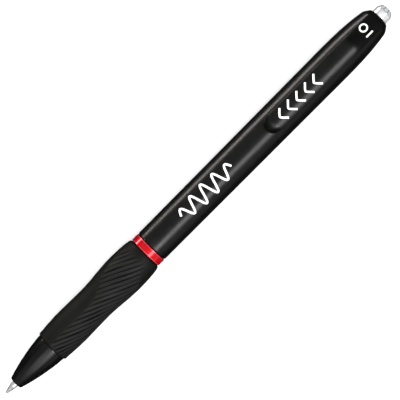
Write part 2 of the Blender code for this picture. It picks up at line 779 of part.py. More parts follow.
gloss_black = make_material("gloss_black", (0.012, 0.012, 0.013), 0.16)
satin_black = make_material("satin_black", (0.017, 0.016, 0.016), 0.33)
rubber_black = make_material("rubber_black", (0.016, 0.016, 0.015), 0.72)
ring_red = make_material("ring_red", (0.62, 0.012, 0.018), 0.22, metallic=0.85)
chrome = make_material("chrome", (0.86, 0.87, 0.89), 0.09, metallic=1.0)
steel = make_material("steel", (0.62, 0.61, 0.60), 0.24, metallic=1.0)
carbide = make_material("carbide", (0.42, 0.42, 0.43), 0.12, metallic=1.0)
spring_steel = make_material("spring_steel", (0.55, 0.55, 0.56), 0.28, metallic=1.0)
white_plastic = make_material("white_plastic", (0.80, 0.80, 0.78), 0.42)
clear_plastic = make_material("clear_plastic", (0.86, 0.88, 0.88), 0.12, alpha=0.35)
ink = make_material("red_ink", (0.42, 0.008, 0.014), 0.20)
grease = make_material("clear_grease", (0.88, 0.86, 0.76), 0.18, alpha=0.6)

front_section()
grip_sleeve()
accent_ring()
barrel()
clip_arm()
clip_root()
cam_sleeve()
cam_rotor()
plunger()
push_button()
tip_ball()
refill_tip()
tip_holder()
tube("ink_tube", TUBE_RADIUS, TUBE_BORE, TUBE_START, PLUG_HEAD_START - SEAM, clear_plastic)
refill_filling()
tail_plug()
return_spring()
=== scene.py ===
# %% [markdown]
# # A click pen, piece by piece
#
# A retractable gel pen looks simple, and is eighteen pieces. This lesson makes the good-looking
# version of each one: a satin barrel with its clip, a glossy nose, a ribbed rubber grip, a red ring,
# a chrome button, and the refill and click parts inside. The pen lies along X with its point at -X.

# %% Load the frame
import math

import bmesh
import bpy
from mathutils import Matrix, Vector, noise


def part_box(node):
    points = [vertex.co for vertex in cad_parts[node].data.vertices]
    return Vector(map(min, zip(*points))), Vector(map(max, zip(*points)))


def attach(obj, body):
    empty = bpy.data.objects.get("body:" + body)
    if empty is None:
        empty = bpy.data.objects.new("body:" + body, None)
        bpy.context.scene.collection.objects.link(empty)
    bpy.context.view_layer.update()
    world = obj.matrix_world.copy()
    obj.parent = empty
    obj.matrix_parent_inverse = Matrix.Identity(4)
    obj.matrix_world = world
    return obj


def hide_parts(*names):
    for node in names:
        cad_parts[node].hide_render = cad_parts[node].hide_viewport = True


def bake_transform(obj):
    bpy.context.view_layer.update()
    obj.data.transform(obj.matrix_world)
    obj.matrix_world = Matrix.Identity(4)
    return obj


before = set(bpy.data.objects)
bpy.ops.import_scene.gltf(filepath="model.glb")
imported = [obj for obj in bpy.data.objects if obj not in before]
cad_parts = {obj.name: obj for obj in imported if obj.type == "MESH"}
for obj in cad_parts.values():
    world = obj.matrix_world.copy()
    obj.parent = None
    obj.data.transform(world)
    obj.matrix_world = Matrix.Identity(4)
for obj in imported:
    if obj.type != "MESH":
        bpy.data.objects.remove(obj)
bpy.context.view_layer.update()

# %% [markdown]
# ## Where everything is
#
# Nearly every part of a pen is round about one line, so a place is two numbers: a station along the
# pen and a radius from its axis. Both can be read from the boxes of the solids in the frame. Only
# the sizes that a box can't show, such as how sharply the tail curves in, are written down here.

# %% Stations and radii from the frame
MM = 0.001
AXIS = sum(corner.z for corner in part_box("accent_ring")) / 2


def ends(node):
    low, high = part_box(node)
    return low.x, high.x


def widest(node):
    low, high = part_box(node)
    return (high.y - low.y) / 2


NOSE_FACE = ends("front_section")[0]
GRIP_START, GRIP_END = ends("grip_sleeve")
RING_START, RING_END = ends("accent_ring")
BARREL_START, BARREL_END = ends("barrel")
BUTTON_START, BUTTON_TOP = ends("push_button")
CLIP_TOE, CLIP_SHOULDER = ends("clip_arm")
CLIP_ROOT_END = ends("clip_root")[1]
CLIP_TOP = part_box("clip_arm")[1].z - AXIS
print(f"axis {AXIS / MM:.2f} mm up, pen {(BUTTON_TOP - ends('tip_ball')[0]) / MM:.1f} mm long")

# %% [markdown]
# ## Shared effects
#
# Moulded plastic is never one flat colour. It has a fine grain from the tool, a slow mottle in its
# gloss, and hair-thin rub marks that run along the pen from pockets and fingers. Several materials
# need these, so each is a node group with named sockets. The groups work in millimetres. A fourth
# one swaps a skin's colour and roughness where a mask says so, to paint shade and highlights.


# %% Helpers for node groups
def new_group(name, inputs, outputs):
    """A group and its two ends. A socket with Colour in its name holds a colour, others a number."""
    group = bpy.data.node_groups.new(name, "ShaderNodeTree")
    for in_out, sockets in (("INPUT", inputs), ("OUTPUT", outputs)):
        for socket in sockets:
            kind = "NodeSocketColor" if "Colour" in socket else "NodeSocketFloat"
            group.interface.new_socket(socket, in_out=in_out, socket_type=kind)
    return group, group.nodes.new("NodeGroupInput"), group.nodes.new("NodeGroupOutput")


def millimetres(tree, stretch=(1, 1, 1)):
    """Object coordinates in millimetres, stretched so that a pattern runs along or round the pen."""
    place = tree.nodes.new("ShaderNodeTexCoord")
    scale = tree.nodes.new("ShaderNodeMapping")
    scale.inputs["Scale"].default_value = [share / MM for share in stretch]
    tree.links.new(place.outputs["Object"], scale.inputs["Vector"])
    return scale.outputs["Vector"]


def noise_at(tree, vector, scale, detail=2.0, roughness=0.5):
    node = tree.nodes.new("ShaderNodeTexNoise")
    node.inputs["Detail"].default_value = detail
    node.inputs["Roughness"].default_value = roughness
    tree.links.new(vector, node.inputs["Vector"])
    if hasattr(scale, "links"):
        tree.links.new(scale, node.inputs["Scale"])
    else:
        node.inputs["Scale"].default_value = scale
    return node.outputs["Fac"]


def ranged(tree, value, low, high, to_low=0.0, to_high=1.0):
    node = tree.nodes.new("ShaderNodeMapRange")
    limits = {"From Min": low, "From Max": high, "To Min": to_low, "To Max": to_high}
    for socket, number in limits.items():
        node.inputs[socket].default_value = number
    tree.links.new(value, node.inputs["Value"])
    return node.outputs["Result"]


def calculate(tree, operation, first, second):
    node = tree.nodes.new("ShaderNodeMath")
    node.operation = operation
    for socket, value in zip(node.inputs, (first, second)):
        if isinstance(value, (int, float)):
            socket.default_value = value
        else:
            tree.links.new(value, socket)
    return node.outputs["Value"]


# A Mix node has sockets for each kind of value. These are the numbers of its colour ones.
MIX_FIRST, MIX_SECOND, MIX_RESULT = 6, 7, 2


def mixed(tree, share, first, second):
    """Mixes two colours. Each is a colour or a socket."""
    node = tree.nodes.new("ShaderNodeMix")
    node.data_type = "RGBA"
    for number, value in ((MIX_FIRST, first), (MIX_SECOND, second)):
        if isinstance(value, tuple):
            node.inputs[number].default_value = (*value, 1)
        else:
            tree.links.new(value, node.inputs[number])
    tree.links.new(share, node.inputs["Factor"])
    return node.outputs[MIX_RESULT]


# %% The four groups
def moulded_skin():
    """Height is the tool's fine grain. Mottle is a slow change in gloss and tone, from 0 to 1."""
    tree, into, out = new_group("moulded_skin", ("Grains per mm",), ("Height", "Mottle"))
    space = millimetres(tree)
    grain = noise_at(tree, space, into.outputs["Grains per mm"], detail=3.0, roughness=0.65)
    slow = noise_at(tree, space, 0.4, detail=3.0, roughness=0.6)
    tree.links.new(grain, out.inputs["Height"])
    tree.links.new(ranged(tree, slow, 0.3, 0.7), out.inputs["Mottle"])
    return tree


def rub_marks():
    """A few thin scuffs along the pen, from 0 on clean skin to 1 in a scuff."""
    tree, into, out = new_group("rub_marks", ("Amount",), ("Marks",))
    along = millimetres(tree, stretch=(0.12, 3.0, 3.0))
    fine = noise_at(tree, along, 1.6, detail=4.0, roughness=0.7)
    patches = noise_at(tree, millimetres(tree), 0.16, detail=1.0)
    scuffs = ranged(tree, fine, 0.6, 0.74)
    where = ranged(tree, patches, 0.45, 0.65)
    marks = calculate(tree, "MULTIPLY", scuffs, where)
    tree.links.new(calculate(tree, "MULTIPLY", marks, into.outputs["Amount"]), out.inputs["Marks"])
    return tree


def lathe_rings():
    """Fine rings round the pen's axis, as a cutting tool leaves them on turned metal."""
    tree, into, out = new_group("lathe_rings", ("Rings per mm",), ("Height",))
    around = millimetres(tree, stretch=(1, 0.02, 0.02))
    rings = noise_at(tree, around, into.outputs["Rings per mm"], roughness=0.6)
    tree.links.new(rings, out.inputs["Height"])
    return tree


def light_and_shade_places():
    """Gives a skin another colour and roughness, as far as the mask says. The colour paints shade into
    some places and highlights onto others.
    """
    skin = ("Colour", "Roughness")
    tree, into, out = new_group("light_and_shade_places", ("Mask", *skin, "Worn Colour", "Worn Roughness"), skin)
    mask, colour, roughness, marked_colour, marked_roughness = list(into.outputs)[:5]
    rise = calculate(tree, "SUBTRACT", marked_roughness, roughness)
    change = calculate(tree, "MULTIPLY", mask, rise)
    tree.links.new(mixed(tree, mask, colour, marked_colour), out.inputs["Colour"])
    tree.links.new(calculate(tree, "ADD", roughness, change), out.inputs["Roughness"])
    return tree


GROUPS = {made.name: made for made in (moulded_skin(), rub_marks(), lathe_rings(), light_and_shade_places())}
print("node groups:", ", ".join(GROUPS))

# %% [markdown]
# ## Finishes
#
# Each finish is one function that starts from the same skeleton: two tones mixed by the mottle, a
# roughness that moves with the mottle and the rub marks, and a bump a few thousandths of a
# millimetre deep. Shiny plastic and rubber differ mostly in how rough that skin is.


# %% The skeleton that the finishes share
def use_group(tree, name, **values):
    node = tree.nodes.new("ShaderNodeGroup")
    node.node_tree = GROUPS[name]
    for socket, value in values.items():
        node.inputs[socket.replace("_", " ")].default_value = value
    return node


def finish(name, dark, light, smooth, rough, grain, depth, marks=0.0, **constants):
    """A Principled material whose tone and roughness move between two values. grain is per mm."""
    material = bpy.data.materials.new(name + "_finish")
    material.use_nodes = True
    tree = material.node_tree
    shader = tree.nodes["Principled BSDF"]
    for socket, value in constants.items():
        shader.inputs[socket.replace("_", " ")].default_value = value
    skin = use_group(tree, "moulded_skin", Grains_per_mm=grain)
    tree.links.new(mixed(tree, skin.outputs["Mottle"], dark, light), shader.inputs["Base Color"])
    roughness = ranged(tree, skin.outputs["Mottle"], 0, 1, smooth, rough)
    if marks:
        scuffs = use_group(tree, "rub_marks", Amount=marks)
        roughness = calculate(tree, "ADD", roughness, scuffs.outputs["Marks"])
    tree.links.new(roughness, shader.inputs["Roughness"])
    bump = tree.nodes.new("ShaderNodeBump")
    bump.inputs["Distance"].default_value = depth
    tree.links.new(skin.outputs["Height"], bump.inputs["Height"])
    tree.links.new(bump.outputs["Normal"], shader.inputs["Normal"])
    return material


# %% [markdown]
# Some places on a piece are painted lighter or darker than the rest: painted shade in the floor of a
# groove, a painted highlight on the crest of a rib and beside a ring's bevel, and painted shade on
# that bevel and along a button's facet edges. The mesh knows where they are, so each of those pieces
# carries a vertex attribute that is 1 there. The material reads it as a mask, and a patchy mask is
# broken up into patches by noise.


# %% Painted light and shade
def paint_light_and_shade(material, attribute, colour, roughness, patchy=False):
    """Where the mesh's attribute is 1, the finish takes this colour and roughness. The colour is a
    painted highlight, and painted shade where it is dark.
    """
    tree = material.node_tree
    shader = tree.nodes["Principled BSDF"]
    reader = tree.nodes.new("ShaderNodeAttribute")
    reader.attribute_name = attribute
    mask = reader.outputs["Fac"]
    if patchy:
        patches = noise_at(tree, millimetres(tree), 1.6, detail=3.0, roughness=0.6)
        mask = calculate(tree, "MULTIPLY", mask, ranged(tree, patches, 0.35, 0.55))
    places = use_group(tree, "light_and_shade_places", Worn_Colour=(*colour, 1), Worn_Roughness=roughness)
    tree.links.new(mask, places.inputs["Mask"])
    for socket, skin in (("Base Color", "Colour"), ("Roughness", "Roughness")):
        tree.links.new(shader.inputs[socket].links[0].from_socket, places.inputs[skin])
        tree.links.new(places.outputs[skin], shader.inputs[socket])


# %% Plastics and rubber
satin_black = finish(
    "satin_black",
    dark=(0.0022, 0.0021, 0.002),
    light=(0.0034, 0.0032, 0.003),
    smooth=0.27,
    rough=0.33,
    grain=5.0,
    depth=0.004 * MM,
    marks=0.12,
)
gloss_black = finish(
    "gloss_black",
    dark=(0.0018, 0.0018, 0.0019),
    light=(0.0028, 0.0028, 0.003),
    smooth=0.22,
    rough=0.28,
    grain=3.0,
    depth=0.002 * MM,
    marks=0.1,
)
rubber_black = finish(
    "rubber_black",
    dark=(0.0036, 0.0036, 0.0032),
    light=(0.0054, 0.0054, 0.0048),
    smooth=0.5,
    rough=0.62,
    grain=9.0,
    depth=0.012 * MM,
    Specular_IOR_Level=0.18,
)
# Painted highlight on the crests of the ribs: a lighter tone, with the smoother skin of polished rubber.
paint_light_and_shade(rubber_black, "crest_highlight_and_polish", colour=(0.0145, 0.0145, 0.0139), roughness=0.4)
# Painted shade in the floors of the grooves: near black, with a rougher skin.
paint_light_and_shade(rubber_black, "groove", colour=(0.0003, 0.0003, 0.0003), roughness=0.9)
white_plastic = finish(
    "white_plastic",
    dark=(0.66, 0.66, 0.64),
    light=(0.78, 0.78, 0.76),
    smooth=0.3,
    rough=0.42,
    grain=4.0,
    depth=0.005 * MM,
    Subsurface_Weight=0.08,
)
print_white = finish(
    "print_white",
    dark=(0.78, 0.78, 0.77),
    light=(0.92, 0.92, 0.91),
    smooth=0.42,
    rough=0.58,
    grain=12.0,
    depth=0.003 * MM,
)

# %% [markdown]
# The ring and the button are plastic with a metal coat, and the point is turned nickel silver. A
# metal has no colour of its own under the shine, so its tones are bright and its roughness does
# the work. The rings that a lathe leaves stretch the highlights round the point.


# %% Metals
def turned_metal(name, rings, depth, **values):
    """A metal finish whose grain is the rings of a lathe."""
    material = finish(name, grain=8.0, depth=depth, **values)
    tree = material.node_tree
    cut = use_group(tree, "lathe_rings", Rings_per_mm=rings)
    bump = next(node for node in tree.nodes if node.type == "BUMP")
    tree.links.new(cut.outputs["Height"], bump.inputs["Height"])
    return material


ring_red = finish(
    "ring_red",
    dark=(0.86, 0.002, 0.01),
    light=(0.96, 0.004, 0.018),
    smooth=0.2,
    rough=0.27,
    grain=7.0,
    depth=0.001 * MM,
    marks=0.1,
    Metallic=0.72,
    Coat_Weight=1.0,
    Coat_Roughness=0.06,
)
# Painted highlight: a pink line beside each bevel, in patches, with a rougher skin.
paint_light_and_shade(ring_red, "edge", colour=(0.9, 0.19, 0.2), roughness=0.36, patchy=True)
# Painted shade: the bevels themselves are dark red.
paint_light_and_shade(ring_red, "rim", colour=(0.2, 0.0015, 0.005), roughness=0.3)
button_chrome = finish(
    "button_chrome",
    dark=(0.92, 0.93, 0.94),
    light=(0.97, 0.98, 0.99),
    smooth=0.14,
    rough=0.2,
    grain=3.0,
    depth=0.0005 * MM,
    marks=0.1,
    Metallic=0.7,
)
# Painted shade: dark borders along the facets' edges.
paint_light_and_shade(button_chrome, "edge", colour=(0.05, 0.052, 0.055), roughness=0.3)
tip_steel = turned_metal(
    "tip_steel",
    rings=14.0,
    depth=0.002 * MM,
    dark=(0.88, 0.87, 0.86),
    light=(0.95, 0.94, 0.93),
    smooth=0.24,
    rough=0.3,
    Metallic=0.82,
)
spring_steel = turned_metal(
    "spring_steel",
    rings=10.0,
    depth=0.001 * MM,
    dark=(0.5, 0.5, 0.52),
    light=(0.62, 0.62, 0.64),
    smooth=0.22,
    rough=0.34,
    Metallic=1.0,
)
carbide = finish(
    "carbide",
    dark=(0.36, 0.36, 0.37),
    light=(0.46, 0.46, 0.47),
    smooth=0.1,
    rough=0.2,
    grain=20.0,
    depth=0.0005 * MM,
    Metallic=1.0,
)

# %% What the refill is filled with
clear_plastic = finish(
    "clear_plastic",
    dark=(0.9, 0.92, 0.92),
    light=(0.97, 0.98, 0.98),
    smooth=0.05,
    rough=0.12,
    grain=2.0,
    depth=0.001 * MM,
    Transmission_Weight=0.95,
    IOR=1.49,
)
red_ink = finish(
    "red_ink",
    dark=(0.34, 0.004, 0.01),
    light=(0.46, 0.008, 0.016),
    smooth=0.06,
    rough=0.12,
    grain=1.5,
    depth=0.002 * MM,
    Coat_Weight=0.4,
)
clear_grease = finish(
    "clear_grease",
    dark=(0.86, 0.84, 0.72),
    light=(0.93, 0.92, 0.83),
    smooth=0.08,
    rough=0.2,
    grain=1.0,
    depth=0.008 * MM,
    Transmission_Weight=0.7,
    IOR=1.46,
)
print("finishes:", len(bpy.data.materials))

# %% [markdown]
# ## Turning a piece
#
# A lathe cuts an outline round an axis, and so does the spin operator. An outline is a few points
# of station and radius. Its corners are rounded while it is still a wire, with a vertex bevel, and
# then one full spin with its seam merged makes the solid.


# %% The lathe
def outline_wire(shape, points, closed, rounded):
    corners = [shape.verts.new((station, 0, AXIS + radius)) for station, radius in points]
    for first, second in zip(corners, corners[1:]):
        shape.edges.new((first, second))
    if closed:
        shape.edges.new((corners[-1], corners[0]))
    for number, width in rounded.items():
        bmesh.ops.bevel(
            shape,
            geom=[corners[number]],
            offset=width,
            affect="VERTICES",
            segments=4,
            profile=0.5,
            material=-1,
        )


def turned(points, closed=True, rounded=None, steps=96):
    """A bmesh of the outline spun round the pen. rounded gives the corner width of a point's number."""
    shape = bmesh.new()
    outline_wire(shape, points, closed, rounded or {})
    bmesh.ops.spin(
        shape,
        geom=shape.verts[:] + shape.edges[:],
        cent=(0, 0, AXIS),
        axis=(1, 0, 0),
        dvec=(0, 0, 0),
        angle=2 * math.pi,
        steps=steps,
        use_merge=True,
        use_duplicate=False,
    )
    bmesh.ops.remove_doubles(shape, verts=shape.verts, dist=1e-7)
    bmesh.ops.recalc_face_normals(shape, faces=shape.faces)
    return shape


def finished(name, shape, material, body=None, replaced=(), sharp_degrees=32):
    """The bmesh as an object at the origin, shaded smooth, riding on its body."""
    mesh = bpy.data.meshes.new(name)
    shape.to_mesh(mesh)
    shape.free()
    mesh.materials.append(material)
    mesh.shade_smooth()
    mesh.set_sharp_from_angle(angle=math.radians(sharp_degrees))
    obj = bpy.data.objects.new(name, mesh)
    bpy.context.scene.collection.objects.link(obj)
    if body:
        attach(obj, body)
    if replaced:
        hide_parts(*replaced)
    print(f"{name}: {len(mesh.polygons)} faces")
    return obj


# %% [markdown]
# ## Barrel
#
# The barrel is one long moulding. It widens very slightly towards the back, where its tail curves
# in to a soft shoulder and a short cone round the button's hole.

# %% Barrel outline
BARREL_FRONT_RADIUS = 4.92 * MM
BARREL_WIDEST_RADIUS = widest("barrel")
BARREL_SHOULDER_RADIUS = 4.15 * MM
BARREL_END_RADIUS = 3.0 * MM
BARREL_BORE = 4.0 * MM
TAIL_START = BARREL_END - 17.87 * MM
SHOULDER = BARREL_END - 1.6 * MM
TAIL_POWER = 2.75
BUTTON_RADIUS = widest("push_button")
BUTTON_HOLE = BUTTON_RADIUS + 0.2 * MM
BORE_END = BARREL_END - 8.4 * MM


def barrel_radius(station):
    if station < TAIL_START:
        share = (station - BARREL_START) / (TAIL_START - BARREL_START)
        return BARREL_FRONT_RADIUS + (BARREL_WIDEST_RADIUS - BARREL_FRONT_RADIUS) * share
    share = min(1, (station - TAIL_START) / (SHOULDER - TAIL_START))
    return BARREL_WIDEST_RADIUS - (BARREL_WIDEST_RADIUS - BARREL_SHOULDER_RADIUS) * share**TAIL_POWER


def barrel_outline():
    points = [(BARREL_START, BARREL_BORE), (BARREL_START, BARREL_FRONT_RADIUS)]
    for start, end, steps in ((BARREL_START, TAIL_START, 12), (TAIL_START, SHOULDER, 24)):
        for i in range(1, steps + 1):
            station = start + (end - start) * i / steps
            points.append((station, barrel_radius(station)))
    points += [(BARREL_END, BARREL_END_RADIUS), (BARREL_END, BUTTON_HOLE)]
    points += [(BORE_END, BUTTON_HOLE), (BORE_END, BARREL_BORE)]
    return points


barrel_points = barrel_outline()
shoulder = len(barrel_points) - 5
barrel_corners = {1: 0.12 * MM, shoulder: 0.45 * MM, shoulder + 1: 0.12 * MM, shoulder + 2: 0.12 * MM}
barrel_shape = turned(barrel_points, rounded=barrel_corners, steps=128)
finished("barrel_shell", barrel_shape, satin_black, "barrel", ["barrel"])

# %% [markdown]
# ## Clip
#
# The clip is moulded with the barrel: its root slopes up out of the tail, and its arm lies over the
# barrel and bends down to it at a rounded toe. Its outer face is crowned like the barrel under it.
# It could be cut from a block, but a sheet is easier: a grid laid along the clip's side view and
# across its width, extruded down to the underside, with its rim bevelled and the whole subdivided.

# %% Side view of the clip
CLIP_HALF_WIDTH = widest("clip_arm")
CLIP_CROWN_RADIUS = 5.0 * MM
CLIP_THICKNESS = 1.5 * MM
TOE_LENGTH = 3.3 * MM
TOE_DROP_GAP = 0.1 * MM
TOE_THINNING = 0.6
ARM_STEPS, TOE_STEPS = 40, 8
SHOULDER_EASE = 1.3 * MM
UNDERSIDE_EASE = 2.2 * MM
ROOT_SINK = 0.3 * MM
ROOT_STEP = 0.02 * MM


def crown_drop(across):
    """How far the crowned face has fallen at this distance from the clip's middle."""
    return CLIP_CROWN_RADIUS - math.sqrt(CLIP_CROWN_RADIUS**2 - across**2)


def smooth(share):
    share = min(1, max(0, share))
    return share * share * (3 - 2 * share)


def clip_height(station):
    """Height of the clip's crown over the axis, from its root to where the toe bends."""
    root_height = barrel_radius(CLIP_ROOT_END) - ROOT_STEP
    fall = (CLIP_TOP - root_height) / (CLIP_ROOT_END - CLIP_SHOULDER)
    past = station - CLIP_SHOULDER
    if past <= -SHOULDER_EASE:
        return CLIP_TOP
    if past >= SHOULDER_EASE:
        return CLIP_TOP - fall * past
    return CLIP_TOP - fall * (past + SHOULDER_EASE) ** 2 / (4 * SHOULDER_EASE)


def clip_under_height(station):
    """Height of the underside: it clears the barrel under the arm and sinks into it at the root."""
    arm = CLIP_TOP - CLIP_THICKNESS
    root = barrel_radius(station) - ROOT_SINK
    return arm + (root - arm) * smooth((station - CLIP_SHOULDER + UNDERSIDE_EASE) / UNDERSIDE_EASE)


def clip_lines():
    """Matching points (station, height) of the crown and the underside, from the root to the toe."""
    toe_start = CLIP_TOE + TOE_LENGTH
    crown, under = [], []
    for i in range(ARM_STEPS + 1):
        station = CLIP_ROOT_END + (toe_start - CLIP_ROOT_END) * i / ARM_STEPS
        crown.append((station, clip_height(station)))
        under.append((station, clip_under_height(station)))
    bottom = barrel_radius(CLIP_TOE) + TOE_DROP_GAP
    for i in range(1, TOE_STEPS + 1):
        angle = math.pi / 2 * i / TOE_STEPS
        for line, inset in ((crown, 0), (under, CLIP_THICKNESS)):
            length = TOE_LENGTH - TOE_THINNING * inset
            drop = CLIP_TOP - inset - bottom
            line.append((toe_start - length * math.sin(angle), bottom + drop * math.cos(angle)))
    return crown, under


# %% The sheet, its thickness and its rim
TOE_ROUND = 1.5 * MM
TOE_POWER = 2.4
TOE_NARROWING = 0.1
TOE_REACH = 5.0 * MM
CLIP_COLUMNS = 10
CLIP_RIM = 0.2 * MM
RIM_ANGLE = 0.9


def clip_place(station, height, across, crowned):
    """Moves a point of the flat side view to its place across the clip."""
    toe_share = smooth(1 - (station - CLIP_TOE) / TOE_REACH)
    side = across * CLIP_HALF_WIDTH * (1 - TOE_NARROWING * toe_share**2)
    back = TOE_ROUND * toe_share * abs(across) ** TOE_POWER
    return station + back, side, AXIS + height - crown_drop(side) * crowned


def root_surface(station, side, height):
    """Under the root the clip follows the barrel, a little inside it."""
    radius = barrel_radius(station) - ROOT_SINK
    return AXIS + math.sqrt(radius**2 - side**2) if station > CLIP_SHOULDER else height


def make_clip():
    crown, under = clip_lines()
    rows = len(crown) - 1
    shape = bmesh.new()
    bmesh.ops.create_grid(shape, x_segments=rows, y_segments=CLIP_COLUMNS, size=0.5)
    row_of = {}
    for vert in shape.verts:
        row_of[vert] = (round((vert.co.x + 0.5) * rows), 2 * vert.co.y)
    grown = bmesh.ops.extrude_face_region(shape, geom=shape.faces[:], use_keep_orig=True)
    lower = [item for item in grown["geom"] if isinstance(item, bmesh.types.BMVert)]
    for vert in lower:
        row, across = round((vert.co.x + 0.5) * rows), 2 * vert.co.y
        station, height = under[row]
        toe_share = smooth(1 - (station - CLIP_TOE - CLIP_THICKNESS) / (TOE_LENGTH / 2))
        x, y, z = clip_place(station, height, across, toe_share)
        vert.co = (x, y, root_surface(station, y, z))
    for vert, (row, across) in row_of.items():
        vert.co = clip_place(*crown[row], across, 1)
    bmesh.ops.recalc_face_normals(shape, faces=shape.faces)
    rim = [edge for edge in shape.edges if edge.calc_face_angle(0.0) > RIM_ANGLE]
    bmesh.ops.bevel(
        shape,
        geom=rim,
        offset=CLIP_RIM,
        affect="EDGES",
        segments=2,
        profile=0.5,
        material=-1,
        clamp_overlap=True,
    )
    return shape


pocket_clip = finished("pocket_clip", make_clip(), satin_black, None, ["clip_root", "clip_arm"])
soften = pocket_clip.modifiers.new("soften", "SUBSURF")
soften.levels = soften.render_levels = 2
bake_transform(pocket_clip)

# %% [markdown]
# ## Nose
#
# The nose is the front of the section that carries the grip and screws into the barrel. It is a cone
# that swells a little in the middle, so light runs along it in one soft streak. The thread on its
# boss hides in the barrel, so plain rings stand in for it.

# %% Nose, core and threaded boss in one piece
NOSE_FRONT_RADIUS = 1.85 * MM
NOSE_REAR_RADIUS = 4.47 * MM
NOSE_SWELL = 0.42 * MM
CORE_RADIUS = 3.85 * MM
CORE_BORE = 2.95 * MM
NECK_BORE = 1.9 * MM
POINT_HOLE = 1.2 * MM
BOSS_RADIUS = 3.85 * MM
RUNNING_GAP = 0.1 * MM
THREAD_START = BARREL_START + 1.5 * MM
THREAD_PITCH = 0.75 * MM
THREAD_DEPTH = 0.28 * MM
HOLE_END = NOSE_FACE + 2.2 * MM
NECK_START, NECK_END = NOSE_FACE + 4.4 * MM, NOSE_FACE + 6.3 * MM
NOSE_STEPS = 28


def nose_radius(share):
    straight = NOSE_FRONT_RADIUS + (NOSE_REAR_RADIUS - NOSE_FRONT_RADIUS) * share
    return straight + 4 * NOSE_SWELL * share * (1 - share)


def front_outline():
    nose_end = GRIP_START - RUNNING_GAP
    boss_end = ends("front_section")[1]
    points = [(NOSE_FACE, POINT_HOLE)]
    for i in range(NOSE_STEPS + 1):
        share = i / NOSE_STEPS
        points.append((NOSE_FACE + (nose_end - NOSE_FACE) * share, nose_radius(share)))
    points += [(nose_end, CORE_RADIUS), (BARREL_START, CORE_RADIUS)]
    crest = THREAD_START
    while crest < boss_end - THREAD_PITCH:
        points.append((crest - THREAD_PITCH / 4, BOSS_RADIUS))
        points.append((crest + THREAD_PITCH / 4, BOSS_RADIUS - THREAD_DEPTH))
        crest += THREAD_PITCH
    points += [(boss_end, BOSS_RADIUS), (boss_end, CORE_BORE)]
    points += [(NECK_END, CORE_BORE), (NECK_END, NECK_BORE)]
    points += [(NECK_START, NECK_BORE), (HOLE_END, POINT_HOLE)]
    return points


front_corners = {0: 0.08 * MM, 1: 0.22 * MM, NOSE_STEPS + 1: 0.1 * MM}
front_shape = turned(front_outline(), rounded=front_corners, steps=112)
finished("front_shell", front_shape, gloss_black, "front", ["front_section"])

# %% [markdown]
# ## Grip
#
# The rubber sleeve swells, narrows for the fingers and bulges before the ring. Slanting grooves run
# round it in two leaf-shaped panels and leave smooth rubber between them. A bump texture would look
# flat at its edge, so the grooves are cut into the mesh: the sleeve is turned with many steps,
# twisted until its long edges follow the grooves, and then each vertex is pressed in. Two vertex
# attributes tell the rubber finish how deep in a groove or how far out on a crest a vertex is: it
# paints shade into the grooves, and a highlight onto the crests, where the rubber is also polished.

# %% Profile of the grip
GRIP_LENGTH = GRIP_END - GRIP_START
GRIP_LIP_RADIUS = 4.85 * MM
GRIP_SWELL_RADIUS = 5.25 * MM
GRIP_WAIST_RADIUS = 5.12 * MM
GRIP_BULGE_RADIUS = widest("grip_sleeve")
GRIP_HEEL_RADIUS = 4.95 * MM
GRIP_SWELL_AT = 7.6 * MM
GRIP_WAIST_AT = 15.7 * MM
GRIP_BULGE_AT = GRIP_LENGTH - 7.9 * MM


def eased(first, second, share):
    return first + (second - first) * (1 - math.cos(math.pi * share)) / 2


def grip_radius(along):
    if along < GRIP_SWELL_AT:
        rise = math.sin(math.pi / 2 * along / GRIP_SWELL_AT)
        return GRIP_LIP_RADIUS + (GRIP_SWELL_RADIUS - GRIP_LIP_RADIUS) * rise
    if along < GRIP_WAIST_AT:
        share = (along - GRIP_SWELL_AT) / (GRIP_WAIST_AT - GRIP_SWELL_AT)
        return eased(GRIP_SWELL_RADIUS, GRIP_WAIST_RADIUS, share)
    if along < GRIP_BULGE_AT:
        share = (along - GRIP_WAIST_AT) / (GRIP_BULGE_AT - GRIP_WAIST_AT)
        return eased(GRIP_WAIST_RADIUS, GRIP_BULGE_RADIUS, share)
    share = (along - GRIP_BULGE_AT) / (GRIP_LENGTH - GRIP_BULGE_AT)
    return GRIP_HEEL_RADIUS + (GRIP_BULGE_RADIUS - GRIP_HEEL_RADIUS) * math.sqrt(max(0, 1 - share**2))


# %% The panels and the grooves
GROOVES = 26
STEPS_PER_GROOVE = 12
GROOVE_SLOPE = math.radians(5.2) / MM
GROOVE_DEPTH = 0.3 * MM
GROOVE_HALF_WIDTH = 0.25 * MM
# Main grooves and the finer ones between them: shift in grooves, strength and seed.
GROOVE_SETS = ((0, 1.0, 3), (0.5, 0.3, 11))
# How much a groove's depth wanders along it, about what mean, and how fast.
GROOVE_MEAN, GROOVE_SWING, WANDER_PER_METRE = 0.75, 0.8, 160
# How fast the crest of a rib gives way to the groove beside it.
RIDGE_FALL = 1.6
# A panel's edge goes from its first angle to its second between two stations.
UPPER_EDGE = (6, 54, -40 * MM, -27 * MM)
LOWER_EDGE = (-104, -30, -31 * MM, -23 * MM)
EDGE_FADE_DEGREES = 9
FRONT_FADE, BACK_MARGIN, BACK_FADE = 0.9 * MM, 1.0 * MM, 3.0 * MM


def panel_edge(station, front_degrees, back_degrees, start, end):
    return front_degrees + (back_degrees - front_degrees) * smooth((station - start) / (end - start))


def panel_share(station, angle):
    """1 inside a grooved panel and 0 on smooth rubber. The two panels are half a turn apart."""
    upper = panel_edge(station, *UPPER_EDGE)
    lower = panel_edge(station, *LOWER_EDGE)
    middle = (upper + lower) / 2
    off = abs((math.degrees(angle) - middle + 90) % 180 - 90)
    sides = smooth(((upper - lower) / 2 - off) / EDGE_FADE_DEGREES + 0.5)
    front = smooth((station - GRIP_START) / FRONT_FADE)
    back = smooth((GRIP_END - BACK_MARGIN - station) / BACK_FADE)
    return sides * front * back


